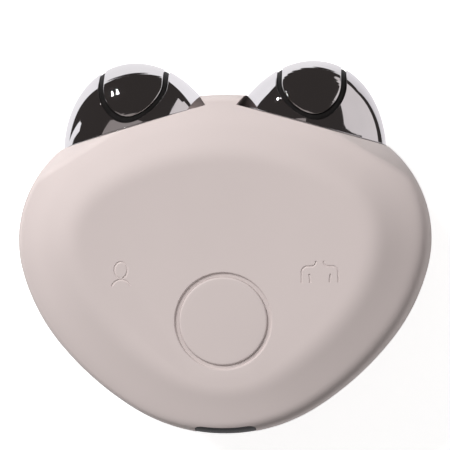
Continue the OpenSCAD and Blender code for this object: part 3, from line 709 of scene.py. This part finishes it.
def material(name, colour, roughness, metallic=0.0, **sockets):
    """A Principled material; sockets holds further inputs by name."""
    made = bpy.data.materials.new(name)
    made.use_nodes = True
    shader = made.node_tree.nodes["Principled BSDF"]
    shader.inputs["Base Color"].default_value = (*colour, 1)
    shader.inputs["Roughness"].default_value = roughness
    shader.inputs["Metallic"].default_value = metallic
    for key, value in sockets.items():
        shader.inputs[key.replace("_", " ")].default_value = value
    return made, shader


def noise(tree, scale, detail=4.0):
    """A noise texture in the device's own metres, with that many grains per millimetre."""
    place = tree.nodes.new("ShaderNodeTexCoord")
    grain = tree.nodes.new("ShaderNodeTexNoise")
    grain.inputs["Scale"].default_value = scale / MM
    grain.inputs["Detail"].default_value = detail
    tree.links.new(place.outputs["Object"], grain.inputs["Vector"])
    return grain.outputs["Fac"]


def ranged(tree, value, low, high, from_low=0.3, from_high=0.7):
    """A value mapped to a range."""
    step = tree.nodes.new("ShaderNodeMapRange")
    step.inputs["From Min"].default_value = from_low
    step.inputs["From Max"].default_value = from_high
    step.inputs["To Min"].default_value = low
    step.inputs["To Max"].default_value = high
    tree.links.new(value, step.inputs["Value"])
    return step.outputs["Result"]


def blended(tree, value, first, second):
    """A colour between two colours, by a value."""
    mix = tree.nodes.new("ShaderNodeMix")
    mix.data_type = "RGBA"
    mix.inputs[6].default_value = (*first, 1)
    mix.inputs[7].default_value = (*second, 1)
    tree.links.new(value, mix.inputs["Factor"])
    return mix.outputs[2]


def tinted(tree, shader, value, dark, light):
    """Base colour between two colours by a value."""
    tree.links.new(blended(tree, value, dark, light), shader.inputs["Base Color"])


def bumped(tree, shader, value, height, strength=1.0):
    """Fine relief of a height in millimetres."""
    bump = tree.nodes.new("ShaderNodeBump")
    bump.inputs["Strength"].default_value = strength
    bump.inputs["Distance"].default_value = height * MM
    tree.links.new(value, bump.inputs["Height"])
    tree.links.new(bump.outputs["Normal"], shader.inputs["Normal"])


def grained(name, colour, roughness, scale, spread=0.06, relief=0.01, metallic=0.0, **sockets):
    """A material whose colour, gloss and relief vary with a fine grain."""
    made, shader = material(name, colour, roughness, metallic, **sockets)
    tree = made.node_tree
    colour = np.array(colour)
    tinted(tree, shader, ranged(tree, noise(tree, scale / 6), 0, 1),
           tuple(colour * (1 - spread)), tuple(np.minimum(colour * (1 + spread), 1)))
    grain = noise(tree, scale)
    gloss = ranged(tree, grain, roughness * 0.9, roughness * 1.1)
    tree.links.new(gloss, shader.inputs["Roughness"])
    bumped(tree, shader, grain, relief)
    return made


def silicone():
    """Soft matte silicone: a broad cast of colour, faint handling marks and a very fine grain."""
    made, shader = material("silicone", SILICONE, 0.6, Sheen_Weight=0.12, Sheen_Roughness=0.5)
    shader.inputs["Specular IOR Level"].default_value = 0.35
    tree = made.node_tree
    colour = np.array(SILICONE)
    cast = ranged(tree, noise(tree, 0.05), 0, 1)
    tinted(tree, shader, cast, tuple(colour * 0.985), tuple(colour * 1.015))
    tree.links.new(ranged(tree, noise(tree, 0.4), 0.55, 0.66), shader.inputs["Roughness"])
    bumped(tree, shader, noise(tree, 6), 0.004, 0.6)
    return made


def chrome():
    """Mirror plating with the faint haze of handling."""
    made, shader = material("chrome", (0.83, 0.82, 0.83), 0.03, 1.0)
    tree = made.node_tree
    tree.links.new(ranged(tree, noise(tree, 0.25), 0.02, 0.07), shader.inputs["Roughness"])
    haze = ranged(tree, noise(tree, 0.12), 0, 1)
    tinted(tree, shader, haze, (0.80, 0.79, 0.80), (0.85, 0.84, 0.85))
    return made


def turned_chrome(side):
    """Plating over fine turned rings, centred below the strap."""
    made, shader = material(f"turned_chrome_{side_name(side)}", (0.8, 0.79, 0.79), 0.07, 1.0)
    tree = made.node_tree
    place = tree.nodes.new("ShaderNodeTexCoord")
    move = tree.nodes.new("ShaderNodeMapping")
    middle = from_seat(side, [[0, -DOME_SINK, 0]])[0]
    move.inputs["Location"].default_value = [-v * MM for v in middle]
    rings = tree.nodes.new("ShaderNodeTexWave")
    rings.wave_type = "RINGS"
    rings.rings_direction = "Z"
    rings.inputs["Scale"].default_value = WAVE_PITCH / (RING_PITCH * MM)
    rings.inputs["Distortion"].default_value = 0.4
    rings.inputs["Detail"].default_value = 1
    tree.links.new(place.outputs["Object"], move.inputs["Vector"])
    tree.links.new(move.outputs["Vector"], rings.inputs["Vector"])
    bumped(tree, shader, rings.outputs["Fac"], 0.006, 1.0)
    tree.links.new(ranged(tree, noise(tree, 0.4), 0.05, 0.09), shader.inputs["Roughness"])
    return made


def make_materials():
    """One material for each slot of the record."""
    return {
        "silicone": silicone(),
        "chrome": chrome(),
        "shell_plastic": grained("shell_plastic", (0.72, 0.70, 0.67), 0.45, 3),
        "steel": grained("steel", (0.62, 0.62, 0.64), 0.28, 8, metallic=1.0, relief=0.004),
        "black_plastic": grained("black_plastic", (0.012, 0.011, 0.011), 0.5, 5, spread=0.2,
                                 relief=0.006, Specular_IOR_Level=0.1),
        "board": grained("board", (0.03, 0.16, 0.07), 0.35, 1.2, spread=0.3, relief=0.02),
        "ferrite": grained("ferrite", (0.05, 0.05, 0.05), 0.6, 6, spread=0.25, relief=0.02),
        "led": grained("led", (0.85, 0.78, 0.5), 0.2, 3),
        "clear_plastic": grained("clear_plastic", (0.9, 0.93, 0.95), 0.12, 2, relief=0.002,
                                 Transmission_Weight=0.9),
        "cell_foil": grained("cell_foil", (0.6, 0.61, 0.63), 0.32, 1, metallic=0.8, relief=0.03),
        "foam": grained("foam", (0.05, 0.05, 0.05), 0.9, 4, spread=0.3, relief=0.08),
        "wire": grained("wire", (0.42, 0.05, 0.04), 0.4, 3),
        "gold": grained("gold", (0.83, 0.6, 0.26), 0.2, 6, metallic=1.0, relief=0.003),
        "seal_rubber": grained("seal_rubber", (0.025, 0.025, 0.025), 0.7, 6, relief=0.015),
    }


# Slots of the CAD nodes that no finer piece stands for
NODE_SLOTS = {
    "shell_plastic": ["front_shell", "rear_shell", "button_key"],
    "steel": ["shell_screws", "board_screws", "tact_switch", "left_dome_clip", "right_dome_clip"],
    "black_plastic": ["switch_plunger", "controller_chip", "buzzer"],
    "board": ["main_board"],
    "ferrite": ["boost_coil"],
    "led": ["face_mode_led", "body_mode_led"],
    "clear_plastic": ["face_light_guide", "body_light_guide"],
    "cell_foil": ["battery"],
    "foam": ["battery_pad"],
    "wire": ["battery_leads", "charge_leads", "left_electrode_leads", "right_electrode_leads"],
    "gold": ["charge_contacts", "left_contact_pins", "right_contact_pins"],
    "seal_rubber": ["left_dome_seal", "right_dome_seal"],
}


def dress(piece, made, slot, body, *nodes):
    """Gives a piece its material and its body, and hides the nodes it stands for. Its slot is not
    used.
    """
    piece.data.materials.clear()
    piece.data.materials.append(made)
    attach(piece, body)
    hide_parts(*nodes)


def build():
    """All the pieces, dressed."""
    made = make_materials()
    for slot, nodes in NODE_SLOTS.items():
        for name in nodes:
            mesh = frame["nodes"][name].data
            mesh.materials.clear()
            mesh.materials.append(made[slot])
    for name, front in (("front_skin", True), ("rear_skin", False)):
        dress(skin(f"{name}_silicone", front), made["silicone"], "silicone", "housing", name)
    dress(button_pad(), made["silicone"], "silicone", "button", "button_pad")
    dress(charge_plate(), made["black_plastic"], "black_plastic", "housing", "charge_plate")
    for side in (-1, 1):
        name = side_name(side)
        outer, strap = outer_electrode(side), strap_electrode(side)
        for piece in (outer, strap):
            shade(piece, 50)
        dress(outer, made["chrome"], "chrome", "housing", f"{name}_outer_electrode")
        dress(strap, turned_chrome(side), "chrome", "housing", f"{name}_strap_electrode")
        core = dome_core(side)
        dress(core, made["black_plastic"], "black_plastic", "housing", f"{name}_dome_core")


# ---- Stage ----
# Light from all round; the floor's colour, and how far it is lifted towards white
AMBIENT_COLOUR, AMBIENT = (1, 0.985, 0.97), 0.25
FLOOR_COLOUR, FLOOR_LIFT = (0.9, 0.9, 0.9), 0.68
# Lamps: name, direction, distance, size, share of white, colour
LAMPS = [("key", (-0.515, 0.535, 0.668), 600, 300, 1.13, (1, 1, 0.995)),
         ("fill", (0.9, -0.2, 0.45), 600, 300, 0.17, (1, 0.99, 0.985))]
# Colours that the mirrors show. The sheet goes from one to another between two places on X; the
# darker one, on its right, is a painted shadow of the device on the floor
CLOTH, PINK, OVERHEAD = (0.036, 0.031, 0.030), (0.68, 0.635, 0.64), (0.28, 0.25, 0.245)
SHEET_WITH_PAINTED_SHADOW = (0.93, 0.91, 0.94), (0.56, 0.53, 0.56), 20, 62
# Outlines of the flat ones, as points x, y
SHEET_OUTLINE = [(-46, -90), (40, -90), (46, 20), (54, 54), (40, 66), (2, 67), (-14, 82),
                 (-40, 92), (-62, 78), (-56, 40)]
SIDE_SHEET_OUTLINE = [(59, 18), (162, 41), (1200, 190), (1200, 1500), (46, 90), (56, 78),
                      (64, 64), (62, 50), (59, 33)]
STREAK_OUTLINE = [(-59, 20), (-54, 24), (-88, 48), (-110, 55), (-112, 46), (-76, 30)]
OVERHEAD_OUTLINE = [(-1000, -700), (20, -700), (60, -100), (20, 560), (-150, 600), (-400, 620),
                    (-760, 700), (-1100, 500)]
# Heights of the floor, the sheets and the card above; the device stands on height 0
GROUND_Z, SHEET_Z, SIDE_SHEET_Z, OVERHEAD_Z = -0.06, -0.03, -0.04, 600
# A card seen from the domes: azimuths, and the elevations of its lower and upper edge there
SIDE_CARD = ((9, 14, 18, 24, 29, 40, 48, 54),
             [(-13, top) for top in (-12, 7, 16, 23, 24, 18, 13, 21)])
# Small lamps seen from the domes: strength, colour, half size, azimuths and elevations
GLINT, GLINT_COLOUR, GLINT_SIZE, GLINT_PLACES = 30, (1, 0.98, 1), 0.8, [(122, 4.5), (116, 7)]
# How far off the cards stand, the radius of the cloth, and half the floor's width
CARD_DISTANCE, TENT_R, FLOOR_HALF = 600, 2500, 3000


def area_light(name, direction, distance, size, share, colour):
    """A square lamp that the mirrors don't show; share is what it adds to white."""
    light = bpy.data.lights.new(name, "AREA")
    light.size = size * MM
    light.energy = share * math.pi**2 * (distance * MM) ** 2
    light.color = colour
    lamp = bpy.data.objects.new(name, light)
    bpy.context.scene.collection.objects.link(lamp)
    away = Vector(direction).normalized()
    lamp.location = Vector((0, 0, MID_Z * MM)) + away * distance * MM
    lamp.rotation_euler = away.to_track_quat("Z", "Y").to_euler()
    lamp.visible_glossy = False


def emission(tree, colour, strength):
    """Shader that glows in one colour."""
    shader = tree.nodes.new("ShaderNodeEmission")
    shader.inputs["Color"].default_value = (*colour, 1)
    shader.inputs["Strength"].default_value = strength
    return shader.outputs["Emission"]


def chosen(tree, choice, first, second):
    """Second where choice is 1, first where it is 0."""
    mix = tree.nodes.new("ShaderNodeMixShader")
    tree.links.new(choice, mix.inputs["Fac"])
    tree.links.new(first, mix.inputs[1])
    tree.links.new(second, mix.inputs[2])
    return mix.outputs["Shader"]


def bare_material(name):
    """A material with nothing in its tree yet, and that tree."""
    made = bpy.data.materials.new(name)
    made.use_nodes = True
    made.node_tree.nodes.clear()
    return made, made.node_tree


def plain_emission(name, colour, strength):
    """A material that only glows, for cards that the mirrors show."""
    made, tree = bare_material(name)
    out = tree.nodes.new("ShaderNodeOutputMaterial")
    tree.links.new(emission(tree, colour, strength), out.inputs["Surface"])
    return made


def emission_with_painted_shadow(name, near, far, start, end):
    """A glow that goes from one colour to another along X, between two places; for the sheet the
    second colour is a painted shadow of the device.
    """
    made = plain_emission(name, near, 1)
    tree = made.node_tree
    place = tree.nodes.new("ShaderNodeTexCoord")
    split = tree.nodes.new("ShaderNodeSeparateXYZ")
    tree.links.new(place.outputs["Object"], split.inputs["Vector"])
    share = ranged(tree, split.outputs["X"], 0, 1, start * MM, end * MM)
    glow = next(node for node in tree.nodes if node.type == "EMISSION")
    tree.links.new(blended(tree, share, near, far), glow.inputs["Color"])
    return made


def background_rays(tree):
    """1 for camera, glossy and transmission rays, which all see the white background."""
    path = tree.nodes.new("ShaderNodeLightPath")
    total = path.outputs["Is Camera Ray"]
    for name in ("Is Glossy Ray", "Is Transmission Ray"):
        add = tree.nodes.new("ShaderNodeMath")
        add.operation = "MAXIMUM"
        tree.links.new(total, add.inputs[0])
        tree.links.new(path.outputs[name], add.inputs[1])
        total = add.outputs["Value"]
    return total


def world():
    """Even pale surroundings that light the device, and white behind it."""
    made = bpy.data.worlds.new("studio")
    bpy.context.scene.world = made
    made.use_nodes = True
    tree = made.node_tree
    tree.nodes.clear()
    around = emission(tree, AMBIENT_COLOUR, AMBIENT)
    white = emission(tree, (1, 1, 1), 1)
    out = tree.nodes.new("ShaderNodeOutputWorld")
    tree.links.new(chosen(tree, background_rays(tree), around, white), out.inputs["Surface"])


def floor_material(name, colour, lift):
    """A pale floor that shows white to the camera and keeps a faint shadow."""
    made, tree = bare_material(name)
    matt = tree.nodes.new("ShaderNodeBsdfDiffuse")
    matt.inputs["Color"].default_value = (*colour, 1)
    both = tree.nodes.new("ShaderNodeAddShader")
    tree.links.new(matt.outputs["BSDF"], both.inputs[0])
    tree.links.new(emission(tree, (1, 1, 1), lift), both.inputs[1])
    out = tree.nodes.new("ShaderNodeOutputMaterial")
    shader = chosen(tree, background_rays(tree), matt.outputs["BSDF"], both.outputs["Shader"])
    tree.links.new(shader, out.inputs["Surface"])
    return made


def staged(name, points, faces, made):
    """A piece of the stage, which isn't part of the device."""
    piece = new_piece(name, points, faces)
    piece.data.materials.append(made)
    return piece


def for_mirrors(piece):
    """Leaves a piece of the stage in reflections alone."""
    piece.visible_camera = False
    piece.visible_diffuse = False
    piece.visible_shadow = False
    return piece


def flat(outline_points, z):
    """Points and face of a level piece of the stage."""
    return [(x, y, z) for x, y in outline_points], [tuple(range(len(outline_points)))]


def card(name, azimuths, elevations, distance, made):
    """A glowing card that spans azimuths and, at each of them, a pair of elevations."""
    points = []
    for azimuth, pair in zip(azimuths, elevations):
        a = math.radians(azimuth)
        for elevation in pair:
            h = MID_Z + distance * math.tan(math.radians(elevation))
            points.append((distance * math.cos(a), SEAT_Y + distance * math.sin(a), h))
    faces = [(2 * i, 2 * i + 1, 2 * i + 3, 2 * i + 2) for i in range(len(azimuths) - 1)]
    return for_mirrors(staged(name, points, faces, made))


def tent():
    """Dark cloth round the device, as a globe; the mirrors show it where nothing is nearer."""
    steps, rows, pole = 24, 12, 0.02
    turns = np.linspace(0, 2 * math.pi, steps, endpoint=False)
    rings = []
    for b in np.linspace(pole, math.pi - pole, rows):
        r, z = TENT_R * math.sin(b), TENT_R * math.cos(b)
        rings.append([(r * math.cos(a), r * math.sin(a), z) for a in turns])
    faces = ring_faces(rows, steps) + flat_cap(0, steps) + flat_cap(rows - 1, steps)
    cloth = plain_emission("tent", CLOTH, 1)
    for_mirrors(staged("tent", np.concatenate(rings), faces, cloth))


def reflected():
    """What the chromed domes show: a white sheet below with a painted shadow on its right, cards
    beside and above, small lamps.
    """
    # The sheet's glow darkens towards +X: a painted shadow of the device on the floor
    sheet = emission_with_painted_shadow("sheet", *SHEET_WITH_PAINTED_SHADOW)
    for_mirrors(staged("sheet", *flat(SHEET_OUTLINE, SHEET_Z), sheet))
    for_mirrors(staged("streak", *flat(STREAK_OUTLINE, SHEET_Z), sheet))
    pink = plain_emission("pink_card", PINK, 1)
    for_mirrors(staged("side_sheet", *flat(SIDE_SHEET_OUTLINE, SIDE_SHEET_Z), pink))
    card("side_card", *SIDE_CARD, CARD_DISTANCE, pink)
    overhead = plain_emission("overhead_card", OVERHEAD, 1)
    for_mirrors(staged("overhead_card", *flat(OVERHEAD_OUTLINE, OVERHEAD_Z), overhead))
    lamp = plain_emission("small_lamp", GLINT_COLOUR, GLINT)
    for azimuth, elevation in GLINT_PLACES:
        card("small_lamp", (azimuth - GLINT_SIZE, azimuth + GLINT_SIZE),
             [(elevation - GLINT_SIZE, elevation + GLINT_SIZE)] * 2, CARD_DISTANCE, lamp)


def stage():
    """The surroundings, the floor, what the mirrors show, and the lamps."""
    world()
    corners = [(-FLOOR_HALF, -FLOOR_HALF), (FLOOR_HALF, -FLOOR_HALF),
               (FLOOR_HALF, FLOOR_HALF), (-FLOOR_HALF, FLOOR_HALF)]
    pale = floor_material("floor", FLOOR_COLOUR, FLOOR_LIFT)
    floor = staged("floor", *flat(corners, GROUND_Z), pale)
    floor.visible_glossy = False
    tent()
    reflected()
    for lamp in LAMPS:
        area_light(*lamp)


# ---- Camera ----
# What it looks at, from how far, and how it is turned
TARGET = Vector((0, 0, MID_Z * MM))
DISTANCE = 600
YAW, PITCH, ROLL = (math.radians(a) for a in (-2.7, 1.15, 0.75))
# The picture's side, the scale in it, and the pixel that the target falls on
PIXELS, PIXELS_PER_MM, TARGET_PIXEL = 450, 5.0115, (226.1, 246.5)


def camera():
    """The camera, placed so that the target falls on its own pixel of the photograph's frame."""
    nod = Matrix.Rotation(ROLL, 3, "Z") @ Matrix.Rotation(PITCH, 3, "X")
    back = (nod @ Matrix.Rotation(YAW, 3, "Y")).transposed()
    focal = PIXELS_PER_MM * DISTANCE
    off_x = (PIXELS / 2 - TARGET_PIXEL[0]) / focal
    off_y = (TARGET_PIXEL[1] - PIXELS / 2) / focal
    view_back = -(back @ Vector((off_x, off_y, -1))).normalized()
    right = (back @ Vector((0, 1, 0))).cross(view_back).normalized()
    up = view_back.cross(right)
    lens = bpy.data.cameras.new("camera")
    lens.lens = lens.sensor_width * focal / PIXELS
    lens.clip_start = 0.01
    lens.clip_end = 20
    made = bpy.data.objects.new("camera", lens)
    bpy.context.scene.collection.objects.link(made)
    spot = Matrix.Translation(TARGET + back @ Vector((0, 0, DISTANCE * MM)))
    made.matrix_world = spot @ Matrix((right, up, view_back)).transposed().to_4x4()
    bpy.context.scene.camera = made


build()
stage()
camera()
bpy.context.scene.view_settings.view_transform = "Standard"
